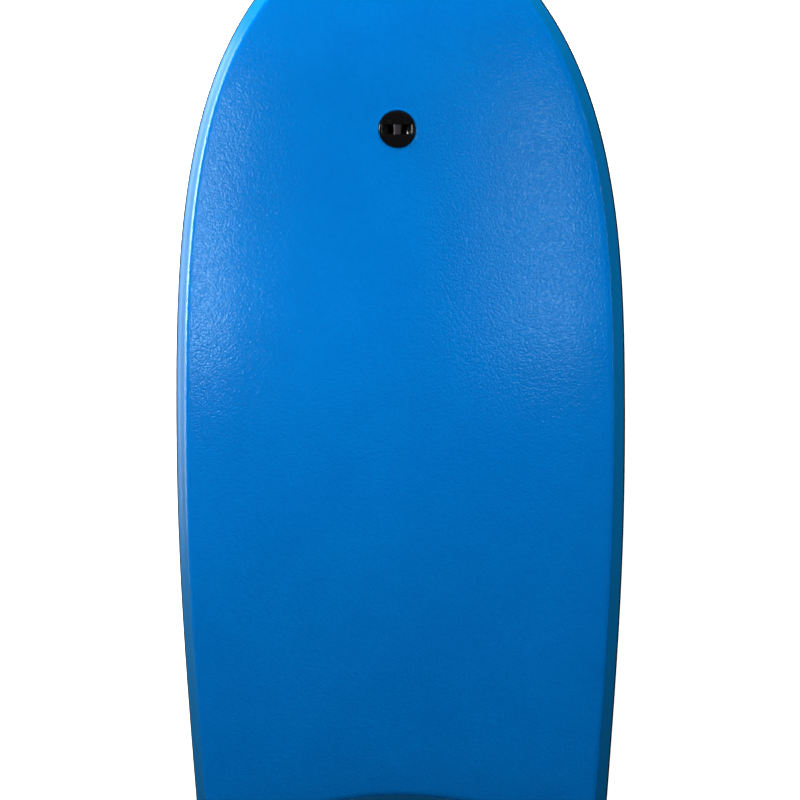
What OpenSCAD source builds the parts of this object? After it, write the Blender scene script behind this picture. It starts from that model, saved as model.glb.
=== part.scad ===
// Bodyboard: laminated foam core, stringer, foam rails, hard slick underside and a two-piece leash plug.
// The nose points to +Y and the deck faces +Z. The origin lies under the middle of the board.

/* [Outline] */
// Length from the tail tips to the nose
board_len = 940; // [780:10:1130]
// Width at the widest line
board_wid = 495; // [410:5:600]
// Width between the outer ends of the tail corners
tail_wid = 452; // [370:2:470]
// Width between the nose shoulders
nose_wid = 296; // [240:2:360]
// Distance that the widest line lies behind the middle
wide_back = 10; // [-40:2:60]
// Depth of the crescent cut into the tail
tail_notch = 25; // [0:1:45]
// Radius of the tail corners
tail_radius = 22; // [21:1:40]
// Distance from the nose back to its shoulders
nose_setback = 22; // [16:1:40]
// Half the length of the nearly flat front edge
nose_flat = 95; // [70:1:110]
// Sideways run of the outline at the tail corners, per unit of length
tail_flare = 0.08; // [0:0.01:0.2]
// Sideways run of the outline at the nose shoulders, per unit of length
nose_slope = 0.8; // [0.5:0.05:1]

/* [Layers] */
// Thickness of the whole board
board_thk = 52; // [43:1:63]
// Thickness of the deck skin
deck_thk = 4; // [3:0.5:6]
// Thickness of the reinforcement mesh
mesh_thk = 0.6; // [0.4:0.1:1]
// Thickness of the backing sheet
backing_thk = 3; // [2:0.5:5]
// Thickness of the slick skin
slick_thk = 1.2; // [1:0.1:2]
// Thickness of the rail strips, measured level
rail_thk = 4.5; // [3:0.5:6]

/* [Edge section] */
// Height of the seam between the upper and lower rails
seam_h = 31; // [28:1:36]
// Height of the widest line
apex_h = 26; // [20:1:27]
// Distance from the widest line in to the corner of the deck
chine_in = 15; // [10:1:20]
// Distance from the widest line in to the rail seam
seam_in = 1.3; // [0.5:0.1:3]
// Distance from the widest line in to the edge of the underside
lower_in = 8; // [3:1:14]
// Length of the rounded corner, measured along the chine
edge_round = 2.4; // [1:0.2:2.8]

/* [Nose rise] */
// Length of the nose that bends upward
rocker_len = 370; // [300:10:450]
// Height by which the underside rises at the nose
rocker_rise = 62; // [40:2:80]
// Length of the nose that gets thinner
taper_len = 150; // [120:5:150]
// Thickness lost at the nose
taper_thk = 9; // [0:1:12]

/* [Tail channels] */
// Length of each channel, from the tail tips forward
channel_len = 250; // [150:10:300]
// Width of each channel at the tail
channel_wid = 46; // [30:2:60]
// Width of each channel at its front end
channel_front_wid = 24; // [16:2:30]
// Depth of each channel at the tail
channel_depth = 6; // [3:0.5:8]
// Level run of each channel's sloping side
channel_bevel = 6; // [3:1:8]
// Distance from the middle to each channel
channel_x = 118; // [90:2:135]

/* [Stringer] */
// Outer diameter of the stringer tube
tube_dia = 11; // [8:0.5:14]
// Wall of the stringer tube
tube_wall = 1.2; // [0.8:0.1:2]
// Foam left between the front end cap and the leash plug
tube_to_plug = 80; // [40:5:150]
// Distance from the rear end cap back to the tail rails
tube_to_tail = 12; // [4:1:60]
// Thickness of an end cap's head
cap_thk = 4; // [2:0.5:6]
// Length of an end cap's spigot in the tube
spigot_len = 12; // [8:1:20]
// Gap round the stringer and its caps
tube_gap = 0.15; // [0.05:0.05:0.3]

/* [Leash plug] */
// Distance from the nose back to the plug
plug_back = 174; // [172:1:260]
// Diameter of both flanges
flange_dia = 40; // [36:1:48]
// Thickness of the deck flange
flange_thk = 3.2; // [2.8:0.1:5]
// Height of the deck flange above the deck
flange_proud = 1.6; // [1:0.1:2]
// Rounding of the flange rims
rim_round = 1.2; // [0.5:0.1:1.3]
// Thickness of each sealing washer
washer_thk = 0.8; // [0.5:0.1:1]
// Distance from a washer's edge to the flange's edge
washer_in = 2; // [1.5:0.5:4]
// Diameter of the cup under the deck flange
cup_dia = 28; // [26:1:30]
// Length of the slot in the deck flange
slot_len = 34; // [30:1:34]
// Width of the slot
slot_wid = 11; // [9:0.5:12]
// Length of the well below the slot
well_len = 21; // [18:1:22]
// Depth of the well below the deck
well_depth = 18; // [15:1:22]
// Drop of the ramp at each end of the slot
ramp_drop = 3; // [2:0.5:4]
// Floor thickness of the cup
cup_floor = 2.5; // [2:0.5:4]
// Width of the leash bar
bar_wid = 8.4; // [7:0.2:9]
// Thickness of the leash bar
bar_thk = 4; // [3:0.5:5]
// Depth of the bar's top below the flange's top
bar_sink = 0.8; // [0.5:0.1:1.5]
// Length by which each end of the bar is let into the cup
bar_tail = 1.6; // [1:0.2:2]
// Gap round the bar's ends
bar_gap = 0.1; // [0.05:0.05:0.2]
// Diameter of the threaded stud
stud_dia = 14; // [12:0.5:15]
// Length of the threaded stud
stud_len = 20; // [12:1:24]
// Diameter of the slick half's socket
socket_dia = 22; // [19:1:24]
// Gap between the cup's floor and the top of the socket
socket_gap = 2; // [1:0.5:4]
// Gap between stud and socket
thread_gap = 0.15; // [0.1:0.05:0.3]
// Gap between the plug and the foam
foam_gap = 0.3; // [0.2:0.1:0.6]
// Thickness of the slick flange
slick_flange_thk = 2.6; // [2:0.1:4]
// Depth of the seat cut in the slick
slick_seat = 0.6; // [0.4:0.1:0.7]
// Width of the coin slot in the slick flange
coin_wid = 2.4; // [1.5:0.1:3]
// Length of the coin slot
coin_len = 26; // [18:1:30]
// Depth of the coin slot
coin_depth = 1.6; // [1:0.1:1.8]

/* [Hidden] */

deck_blue = "dodgerblue";
rail_black = "#17181a";
plug_black = "#0b0b0d";
foam_white = "whitesmoke";

round_fn = 96;
// Overlap that a cut reaches past the faces it opens
past = 1;
// Depth that a channel still has at its front end
run_out = 0.3;
// Distance that a channel's lining ends inside the tail
lining_gap = 0.3;

// How full each curve of the outline is, as a share of its length
rear_fullness = [0.457, 0.32];
front_fullness = [0.37, 0.3275];
nose_fullness = 0.92;
corner_fullness = 0.55;
// Steps along the crescent, tail corner, rear side, front side and nose
steps = [8, 8, 12, 24, 12];

half_len = board_len / 2;
half_wid = board_wid / 2;
rocker_y = half_len - rocker_len;
taper_y = half_len - taper_len;
backing_z = slick_thk;
core_z = slick_thk + backing_thk;
deck_z = board_thk - deck_thk;
mesh_z = deck_z - mesh_thk;

// Outline of the right half, from the middle of the tail to the middle of the nose

tail_tip = [tail_wid / 2 - tail_radius, -half_len];
tail_side = [tail_wid / 2, tail_radius - half_len];
wide_point = [half_wid, -wide_back];
shoulder = [nose_wid / 2, half_len - nose_setback];
nose_tip = [0, half_len];
tail_lean = [tail_flare, 1];
nose_lean = [nose_slope, -1];
rear_span = wide_point.y - tail_side.y;
front_span = shoulder.y - wide_point.y;

function bezier(p, t) =
    pow(1 - t, 3) * p[0] + 3 * pow(1 - t, 2) * t * p[1] + 3 * (1 - t) * t * t * p[2] + pow(t, 3) * p[3];
function curve(p, n) = [for (i = [0 : n - 1]) bezier(p, i / n)];
function crescent(n) = [for (i = [0 : n - 1])
    [tail_tip.x * i / n, tail_notch * (1 + cos(180 * i / n)) / 2 - half_len]];

right_half = concat(
    crescent(steps[0]),
    curve([tail_tip, tail_tip + [corner_fullness * tail_radius, 0],
        tail_side - corner_fullness * tail_radius * tail_lean, tail_side], steps[1]),
    curve([tail_side, tail_side + rear_fullness[0] * rear_span * tail_lean,
        wide_point - [0, rear_fullness[1] * rear_span], wide_point], steps[2]),
    curve([wide_point, wide_point + [0, front_fullness[0] * front_span],
        shoulder + front_fullness[1] * front_span * nose_lean / norm(nose_lean), shoulder], steps[3]),
    curve([shoulder, shoulder - nose_fullness * nose_setback * nose_lean,
        nose_tip + [nose_flat, 0], nose_tip], steps[4]),
    [nose_tip]);

nose_i = len(right_half) - 1;
loop_len = 2 * nose_i;
corner_i = steps[0] + steps[1];
shoulder_i = nose_i - steps[4];

function loop_index(i) = (i + loop_len) % loop_len;
outline = [for (i = [0 : loop_len - 1])
    i <= nose_i ? right_half[i] : [-right_half[loop_len - i].x, right_half[loop_len - i].y]];
inward = [for (i = [0 : loop_len - 1])
    let (run = outline[loop_index(i + 1)] - outline[loop_index(i - 1)]) [-run.y, run.x] / norm(run)];

// The last outline point that lies wholly on the flat part of the board
flat_i = max([for (i = [corner_i : nose_i]) if (right_half[i].y < rocker_y) i]);

// Height of a layer at y: the nose rises, and between the backing and the rail seam it gets thinner

function ramp(y, start, length) = pow(max(0, y - start) / length, 2);
function lift(y, z) = z + rocker_rise * ramp(y, rocker_y, rocker_len)
    - taper_thk * ramp(y, taper_y, taper_len) * min(1, max(0, (z - core_z) / (seam_h - core_z)));
function place(i, d, z) =
    let (p = outline[loop_index(i)] + d * inward[loop_index(i)]) [p.x, p.y, lift(p.y, z)];
function spine(i, d, z) = let (p = place(i, d, z)) [0, p.y, p.z];

// Distance from the widest line in to the board's side, above the seam and below the apex
function chine_d(z) = seam_in + (chine_in - seam_in) * (z - seam_h) / (board_thk - seam_h);
function lower_d(z) = lower_in * (apex_h - z) / apex_h;

// Rounded corner of the deck, from the chine to the flat
corner_steps = 4;
corner_low = board_thk - edge_round;
corner_points = [
    [chine_d(corner_low), corner_low],
    [chine_in, board_thk],
    [chine_in + edge_round, board_thk]];
function corner_round(t) =
    pow(1 - t, 2) * corner_points[0] + 2 * t * (1 - t) * corner_points[1] + t * t * corner_points[2];

// A layer that fills the outline. Each level is [distance in from the widest line, height], lowest first.
module layer(levels) {
    last = len(levels) - 1;
    spine_len = nose_i - flat_i;
    rings = [for (v = levels) for (i = [0 : loop_len - 1]) place(i, v[0], v[1])];
    spines = [for (v = [levels[0], levels[last]]) for (i = [flat_i : nose_i - 1]) spine(i, v[0], v[1])];
    sides = [for (k = [0 : last - 1]) for (i = [0 : loop_len - 1])
        let (a = k * loop_len + i, b = k * loop_len + loop_index(i + 1))
        each [[a, a + loop_len, b + loop_len], [a, b + loop_len, b]]];
    polyhedron(concat(rings, spines), concat(sides,
        cap_faces(0, len(rings), false),
        cap_faces(last * loop_len, len(rings) + spine_len, true)));
}

// Faces that close a layer: a fan over the flat rear, then bands between the side and the spine
function cap_faces(ring, spine_start, up) =
    let (
        fan = [for (i = [0 : flat_i - 1]) each [
            [ring + i, ring + i + 1, spine_start],
            [ring + loop_index(-i - 1), ring + loop_index(-i), spine_start]]],
        bands = [for (i = [flat_i : nose_i - 2]) let (s = spine_start + i - flat_i) each [
            [ring + i, ring + i + 1, s + 1, s],
            [ring + loop_index(-i - 1), ring + loop_index(-i), s, s + 1]]],
        tip = spine_start + nose_i - flat_i - 1,
        ends = [[ring + nose_i - 1, ring + nose_i, tip], [ring + nose_i, ring + nose_i + 1, tip]])
    [for (f = concat(fan, bands, ends)) up ? [for (k = [len(f) - 1 : -1 : 0]) f[k]] : f];

// A strip along the edge between two outline points. The section's points run downward from the outside.
module strip(section, first, last) {
    n = len(section);
    stations = last - first;
    points = [for (i = [first : last]) for (v = section) place(i, v[0], v[1])];
    sides = [for (s = [0 : stations - 1]) for (k = [0 : n - 1])
        let (a = s * n + k, b = s * n + (k + 1) % n)
        each (section[k][1] <= section[(k + 1) % n][1] ?
            [[a, b, b + n], [a, b + n, a + n]] : [[b, b + n, a + n], [b, a + n, a]])];
    polyhedron(points, concat(sides,
        [[for (k = [n - 1 : -1 : 0]) k]],
        [[for (k = [0 : n - 1]) stations * n + k]]));
}

upper_section = [
    [seam_in, seam_h],
    [seam_in + rail_thk, seam_h],
    [chine_d(mesh_z) + rail_thk, mesh_z],
    [chine_d(deck_z) + rail_thk, deck_z],
    [chine_d(deck_z), deck_z]];
lower_section = [
    [0, apex_h],
    [lower_d(core_z), core_z],
    [lower_d(core_z) + rail_thk, core_z],
    [rail_thk, apex_h],
    [seam_in + rail_thk, seam_h],
    [seam_in, seam_h]];

module upper_strip(first, last) color(deck_blue) strip(upper_section, first, last);
module lower_strip(first, last) color(rail_black) strip(lower_section, first, last);

// The board's shape from the given height up, just inside its sides, which ends the channel linings
module lining_block(low) {
    high = core_z + 2 * channel_depth;
    layer([[lower_d(low) + lining_gap, low], [lower_d(high) + lining_gap, high]]);
}

// Both tail channels, grown by the thickness of the layers that line them
module channels(grow) {
    side_run = channel_bevel / channel_depth;
    side_grow = grow * norm([channel_bevel, channel_depth]) / channel_depth;
    ends = [
        [-half_len - past, channel_wid / 2, channel_depth],
        [channel_len - half_len + grow, channel_front_wid / 2, run_out]];
    points = [for (e = ends) for (corner = [[-1, -past], [1, -past], [1, e[2] + grow], [-1, e[2] + grow]])
        [corner[0] * (e[1] + side_grow - corner[1] * side_run), e[0], corner[1]]];
    for (side = [-1, 1]) translate([side * channel_x, 0, 0]) polyhedron(points,
        [[3, 2, 1, 0], [4, 5, 6, 7], [0, 1, 5, 4], [1, 2, 6, 5], [2, 3, 7, 6], [3, 0, 4, 7]]);
}

// Leash plug position: its axis stands square to the deck

plug_y = half_len - plug_back;
plug_tilt = atan(2 * rocker_rise * max(0, plug_y - rocker_y) / pow(rocker_len, 2));
under_z = -board_thk * cos(plug_tilt);
flange_r = flange_dia / 2;
cup_r = cup_dia / 2;
flange_low = flange_proud - flange_thk;
deck_seat = washer_thk - flange_low;
cup_low = -well_depth - cup_floor;
socket_r = socket_dia / 2;
socket_top = cup_low - socket_gap;
stud_r = stud_dia / 2;
bar_z = flange_proud - bar_sink - bar_thk / 2;
slick_top = under_z + slick_seat - washer_thk;

module at_plug() translate([0, plug_y, lift(plug_y, board_thk)]) rotate([plug_tilt, 0, 0]) children();

// Hole through the board for the plug, in the plug's own frame: seat, cup, socket, seat
module plug_hole() {
    below = under_z - slick_flange_thk - past;
    for (cut = [
        [flange_r, -deck_seat, flange_proud + past],
        [cup_r, cup_low - past, past],
        [socket_r, below, -past],
        [flange_r, below, under_z + slick_seat]])
        translate([0, 0, cut[1]]) cylinder(r = cut[0] + foam_gap, h = cut[2] - cut[1], $fn = round_fn);
}

// Outline of one side of a flange, with its rim rounded away from the board
function rim(r, low, high, step = 15) = concat([[0, low], [r, low]],
    [for (a = [0 : step : 90]) [r - rim_round * (1 - cos(a)), high - rim_round * (1 - sin(a))]],
    [[0, high]]);

module bar_shape(grow) {
    edge = bar_wid / 2 - bar_thk / 2;
    square([2 * edge, bar_thk + 2 * grow], center = true);
    for (side = [-1, 1]) translate([side * edge, 0]) circle(r = bar_thk / 2 + grow, $fn = round_fn);
}

module bar_solid(length, grow)
    translate([0, length / 2, bar_z]) rotate([90, 0, 0]) linear_extrude(length) bar_shape(grow);

module washer(low, hole_r) {
    translate([0, 0, low]) difference() {
        cylinder(r = flange_r - washer_in, h = washer_thk, $fn = round_fn);
        translate([0, 0, -past]) cylinder(r = hole_r, h = washer_thk + 2 * past, $fn = round_fn);
    }
}

module end_cap() {
    spigot_r = tube_dia / 2 - tube_wall - tube_gap;
    color("dimgray") {
        cylinder(d = tube_dia, h = cap_thk, $fn = round_fn);
        translate([0, 0, -spigot_len]) cylinder(r = spigot_r, h = spigot_len, $fn = round_fn);
    }
}

tube_z = apex_h;
tube_front = plug_y - cup_r - foam_gap - tube_to_plug - cap_thk;
tube_rear = tail_notch - half_len + rail_thk + tube_to_tail + cap_thk;
tube_len = tube_front - tube_rear;

module foam_core() {
    bore_front = tube_front + cap_thk + tube_gap;
    color(foam_white) difference() {
        layer([[lower_d(core_z) + rail_thk, core_z], [rail_thk, apex_h], [seam_in + rail_thk, seam_h],
            [chine_d(mesh_z) + rail_thk, mesh_z]]);
        channels(core_z);
        translate([0, -half_len, tube_z]) rotate([-90, 0, 0])
            cylinder(r = tube_dia / 2 + tube_gap, h = half_len + bore_front, $fn = round_fn);
        at_plug() plug_hole();
    }
}

module stringer_tube() {
    color("gold") translate([0, tube_rear, tube_z]) rotate([-90, 0, 0]) difference() {
        cylinder(d = tube_dia, h = tube_len, $fn = round_fn);
        translate([0, 0, -past])
            cylinder(r = tube_dia / 2 - tube_wall, h = tube_len + 2 * past, $fn = round_fn);
    }
}

module stringer_cap_front() translate([0, tube_front, tube_z]) rotate([-90, 0, 0]) end_cap();

module stringer_cap_rear() translate([0, tube_rear, tube_z]) rotate([90, 0, 0]) end_cap();

module reinforcement_mesh() {
    color("silver") difference() {
        layer([[chine_d(mesh_z) + rail_thk, mesh_z], [chine_d(deck_z) + rail_thk, deck_z]]);
        at_plug() plug_hole();
    }
}

module deck_skin() {
    color(deck_blue) difference() {
        layer(concat([[chine_d(deck_z), deck_z]], [for (i = [0 : corner_steps]) corner_round(i / corner_steps)]));
        at_plug() plug_hole();
    }
}

module upper_rail_right() upper_strip(corner_i, shoulder_i);
module upper_rail_left() upper_strip(loop_len - shoulder_i, loop_len - corner_i);
module lower_rail_right() lower_strip(corner_i, shoulder_i);
module lower_rail_left() lower_strip(loop_len - shoulder_i, loop_len - corner_i);
module nose_upper_rail() upper_strip(shoulder_i, loop_len - shoulder_i);
module nose_lower_rail() lower_strip(shoulder_i, loop_len - shoulder_i);
module tail_upper_rail() upper_strip(-corner_i, corner_i);

module tail_lower_rail() {
    color(rail_black) difference() {
        strip(lower_section, -corner_i, corner_i);
        channels(core_z);
    }
}

module slick_backing() {
    color(rail_black) difference() {
        union() {
            layer([[lower_d(backing_z), backing_z], [lower_d(core_z), core_z]]);
            intersection() {
                lining_block(backing_z + backing_thk / 2);
                channels(core_z);
            }
        }
        channels(slick_thk);
        at_plug() plug_hole();
    }
}

module slick_skin() {
    color("#202124") difference() {
        union() {
            layer([[lower_in, 0], [lower_d(slick_thk), slick_thk]]);
            intersection() {
                lining_block(slick_thk / 2);
                channels(slick_thk);
            }
        }
        channels(0);
        at_plug() plug_hole();
    }
}

// Deck half of the leash plug: flange, cup and stud in one moulding, hollowed for the leash's cord
module leash_plug_deck() {
    half_slot = slot_len / 2;
    half_well = well_len / 2;
    ramp_low = flange_proud - ramp_drop;
    color(plug_black) at_plug() difference() {
        union() {
            rotate_extrude($fn = round_fn) polygon(rim(flange_r, flange_low, flange_proud));
            translate([0, 0, cup_low])
                cylinder(r = cup_r, h = flange_proud - cup_low - rim_round, $fn = round_fn);
            translate([0, 0, cup_low - stud_len]) cylinder(r = stud_r, h = stud_len + past, $fn = round_fn);
        }
        translate([0, slot_wid / 2, 0]) rotate([90, 0, 0]) linear_extrude(slot_wid) polygon([
            [-half_slot, flange_proud + past], [-half_slot, flange_proud], [-half_well, ramp_low],
            [-half_well, -well_depth], [half_well, -well_depth],
            [half_well, ramp_low], [half_slot, flange_proud], [half_slot, flange_proud + past]]);
        bar_solid(slot_wid + 2 * (bar_tail + bar_gap), bar_gap);
    }
}

module leash_bar() color("#38373c") at_plug() bar_solid(slot_wid + 2 * bar_tail, 0);

// Slick half of the leash plug: flange with a coin slot below, and the socket for the stud
module leash_plug_slick() {
    stud_end = cup_low - stud_len;
    color(plug_black) at_plug() difference() {
        union() {
            translate([0, 0, slick_top]) mirror([0, 0, 1])
                rotate_extrude($fn = round_fn) polygon(rim(flange_r, 0, slick_flange_thk));
            translate([0, 0, slick_top - rim_round])
                cylinder(r = socket_r, h = socket_top - slick_top + rim_round, $fn = round_fn);
        }
        translate([0, 0, stud_end - past])
            cylinder(r = stud_r + thread_gap, h = socket_top - stud_end + 2 * past, $fn = round_fn);
        translate([-coin_len / 2, -coin_wid / 2, slick_top - slick_flange_thk - past])
            cube([coin_len, coin_wid, coin_depth + past]);
    }
}

module deck_washer() color("black") at_plug() washer(-deck_seat, cup_r + foam_gap);
module slick_washer() color("black") at_plug() washer(slick_top, socket_r + foam_gap);

foam_core();
stringer_tube();
stringer_cap_front();
stringer_cap_rear();
reinforcement_mesh();
deck_skin();
upper_rail_left();
upper_rail_right();
lower_rail_left();
lower_rail_right();
nose_upper_rail();
nose_lower_rail();
tail_upper_rail();
tail_lower_rail();
slick_backing();
slick_skin();
leash_plug_deck();
leash_bar();
leash_plug_slick();
deck_washer();
slick_washer();
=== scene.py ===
# Foam wave-riding board: deck, rails, slick underside and leash plug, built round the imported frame
from math import atan, cos, exp, hypot, pi, radians, sin

import bpy
from mathutils import Matrix, Vector, noise
from mathutils.geometry import delaunay_2d_cdt
from mathutils.kdtree import KDTree


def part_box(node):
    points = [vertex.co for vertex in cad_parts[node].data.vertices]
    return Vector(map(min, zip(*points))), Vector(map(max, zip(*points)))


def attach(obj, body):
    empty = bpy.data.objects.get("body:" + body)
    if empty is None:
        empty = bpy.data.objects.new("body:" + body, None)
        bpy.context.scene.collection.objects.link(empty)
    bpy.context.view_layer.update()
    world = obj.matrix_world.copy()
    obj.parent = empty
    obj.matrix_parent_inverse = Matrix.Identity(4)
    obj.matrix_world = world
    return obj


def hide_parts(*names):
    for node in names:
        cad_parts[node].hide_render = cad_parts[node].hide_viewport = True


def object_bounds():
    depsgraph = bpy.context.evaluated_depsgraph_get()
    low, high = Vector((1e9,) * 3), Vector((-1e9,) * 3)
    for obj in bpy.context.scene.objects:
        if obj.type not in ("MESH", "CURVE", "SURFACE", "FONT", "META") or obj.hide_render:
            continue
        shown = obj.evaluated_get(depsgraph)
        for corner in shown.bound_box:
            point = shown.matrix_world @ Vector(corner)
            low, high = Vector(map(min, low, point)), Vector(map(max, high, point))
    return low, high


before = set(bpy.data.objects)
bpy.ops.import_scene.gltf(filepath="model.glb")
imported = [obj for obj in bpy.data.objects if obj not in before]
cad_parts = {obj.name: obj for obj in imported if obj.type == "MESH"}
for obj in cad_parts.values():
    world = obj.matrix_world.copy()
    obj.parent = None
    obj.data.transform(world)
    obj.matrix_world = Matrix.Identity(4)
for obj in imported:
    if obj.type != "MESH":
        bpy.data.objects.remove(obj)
cadLow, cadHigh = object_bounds()
print("frame loaded:", len(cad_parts), "nodes")

# The board's driving sizes in metres. The rest comes from the frame's boxes.
board = {
    "tailWidth": 0.452,  # between the outer ends of the tail corners
    "noseWidth": 0.296,  # between the nose shoulders
    "wideBack": 0.010,  # from the middle back to the widest line
    "tailNotch": 0.025,  # depth of the crescent
    "tailRadius": 0.022,
    "noseSetback": 0.022,  # from the nose back to its shoulders
    "noseFlat": 0.095,  # half the nearly flat front edge
    "tailFlare": 0.08,  # sideways lean of the outline at the tail corners
    "noseSlope": 0.8,  # and at the nose shoulders
    # how far the handles of the outline's curves reach, as shares of their stretch
    "fullness": {"corner": 0.55, "rear": (0.457, 0.32), "front": (0.37, 0.3275), "nose": 0.92},
    "deckThick": 0.004,
    "backingThick": 0.003,
    "slickThick": 0.0012,
    "railThick": 0.0045,
    "meshThick": 0.0006,
    "apexHigh": 0.026,  # height of the widest line
    "chineIn": 0.015,  # from the widest line in to the corner of the deck
    "seamIn": 0.0019,  # from the widest line in to the rail seam
    "lowerIn": 0.008,  # from the widest line in to the edge of the underside
    "riseLength": 0.370,  # the nose that bends upward
    "rise": 0.062,  # of the nose's tip
    "thinLength": 0.150,  # the nose that gets thinner
    "thin": 0.009,  # how much thinner its tip is
    "steps": (80, 16, 36, 60, 30),  # along the crescent, corner, rear side, front side and nose
}

halfLength = (cadHigh.y - cadLow.y) / 2
halfWidth = (cadHigh.x - cadLow.x) / 2
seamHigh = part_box("tail_upper_rail")[0].z
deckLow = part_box("tail_upper_rail")[1].z
boardThick = deckLow + board["deckThick"]
meshLow = deckLow - board["meshThick"]
coreLow = board["slickThick"] + board["backingThick"]


def bezier(points, count):
    a, b, c, d = points
    made = []
    for i in range(count):
        t = i / count
        made.append(a * (1 - t) ** 3 + b * (3 * t * (1 - t) ** 2) + c * (3 * t * t * (1 - t)) + d * t ** 3)
    return made


def rightHalf():  # outline from the middle of the tail to the middle of the nose
    full = board["fullness"]
    radius = board["tailRadius"]
    tailTip = Vector((board["tailWidth"] / 2 - radius, -halfLength))
    tailSide = Vector((board["tailWidth"] / 2, radius - halfLength))
    widest = Vector((halfWidth, -board["wideBack"]))
    shoulder = Vector((board["noseWidth"] / 2, halfLength - board["noseSetback"]))
    noseTip = Vector((0, halfLength))
    tailLean = Vector((board["tailFlare"], 1))
    noseLean = Vector((board["noseSlope"], -1))
    rear = widest.y - tailSide.y
    front = shoulder.y - widest.y
    steps = board["steps"]
    crescent = []
    for i in range(steps[0]):
        t = i / steps[0]
        crescent.append(Vector((tailTip.x * t, board["tailNotch"] * (1 + cos(pi * t)) / 2 - halfLength)))
    corner = bezier((tailTip, tailTip + Vector((full["corner"] * radius, 0)),
                     tailSide - full["corner"] * radius * tailLean, tailSide), steps[1])
    rearSide = bezier((tailSide, tailSide + full["rear"][0] * rear * tailLean,
                       widest - Vector((0, full["rear"][1] * rear)), widest), steps[2])
    frontSide = bezier((widest, widest + Vector((0, full["front"][0] * front)),
                        shoulder + full["front"][1] * front * noseLean.normalized(), shoulder), steps[3])
    nose = bezier((shoulder, shoulder - full["nose"] * board["noseSetback"] * noseLean,
                   Vector((board["noseFlat"], halfLength)), noseTip), steps[4])
    return crescent + corner + rearSide + frontSide + nose + [noseTip]


right = rightHalf()
noseTurn = len(right) - 1  # number of the outline's point at the middle of the nose
loopLength = 2 * noseTurn
cornerTurn = sum(board["steps"][:2])
shoulderTurn = noseTurn - board["steps"][4]
outline = right + [Vector((-p.x, p.y)) for p in reversed(right[1:-1])]
inward = []
for i in range(loopLength):
    run = outline[(i + 1) % loopLength] - outline[i - 1]
    inward.append(Vector((-run.y, run.x)).normalized())


def lift(y, z):  # height of a layer at y: the nose rises and gets thinner
    up = max(0, y - halfLength + board["riseLength"]) / board["riseLength"]
    thin = max(0, y - halfLength + board["thinLength"]) / board["thinLength"]
    share = min(1, max(0, (z - coreLow) / (seamHigh - coreLow)))
    return z + board["rise"] * up * up - board["thin"] * thin * thin * share


def spot(i, inset, z):  # a point on the board's side or inside it
    p = outline[i % loopLength] + inset * inward[i % loopLength]
    return Vector((p.x, p.y, lift(p.y, z)))


def chineInset(z):
    share = (z - seamHigh) / (boardThick - seamHigh)
    return board["seamIn"] + (board["chineIn"] - board["seamIn"]) * share


def lowerInset(z):
    return board["lowerIn"] * (board["apexHigh"] - z) / board["apexHigh"]


channels = {
    "length": 0.250,  # from the tail tips forward
    "width": 0.046,  # at the tail
    "frontWidth": 0.024,
    "depth": 0.006,  # at the tail
    "fade": 0.12,  # how gently the front end runs out
    "soft": 0.0015,  # rounding of the edges
    "apart": 0.118,  # from the middle to each channel
    "wallSteps": 6,  # mesh rows down each wall
    "rowShare": 0.6,  # spacing of the mesh rows along a channel, as a share of the grid's
    "outerRow": 2.2,  # the row beside a wall, in roundings of the edge
    "clear": 3,  # the grid keeps this many roundings away
}


def channelHalf(y):  # share of the full depth at y, and half the channel's width there
    share = min(1, max(0, (channels["length"] - halfLength - y) / channels["length"]))
    return share, (channels["frontWidth"] + (channels["width"] - channels["frontWidth"]) * share) / 2


def groove(x, y):
    share, half = channelHalf(y)
    if share == 0:
        return 0
    depth = channels["depth"] * share * share * (1 + channels["fade"]) / (share + channels["fade"])
    soft = channels["soft"]
    t = (half + soft - abs(abs(x) - channels["apart"])) / (depth + 2 * soft)
    t = min(1, max(0, t))
    return depth * t * t * (3 - 2 * t)


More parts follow.
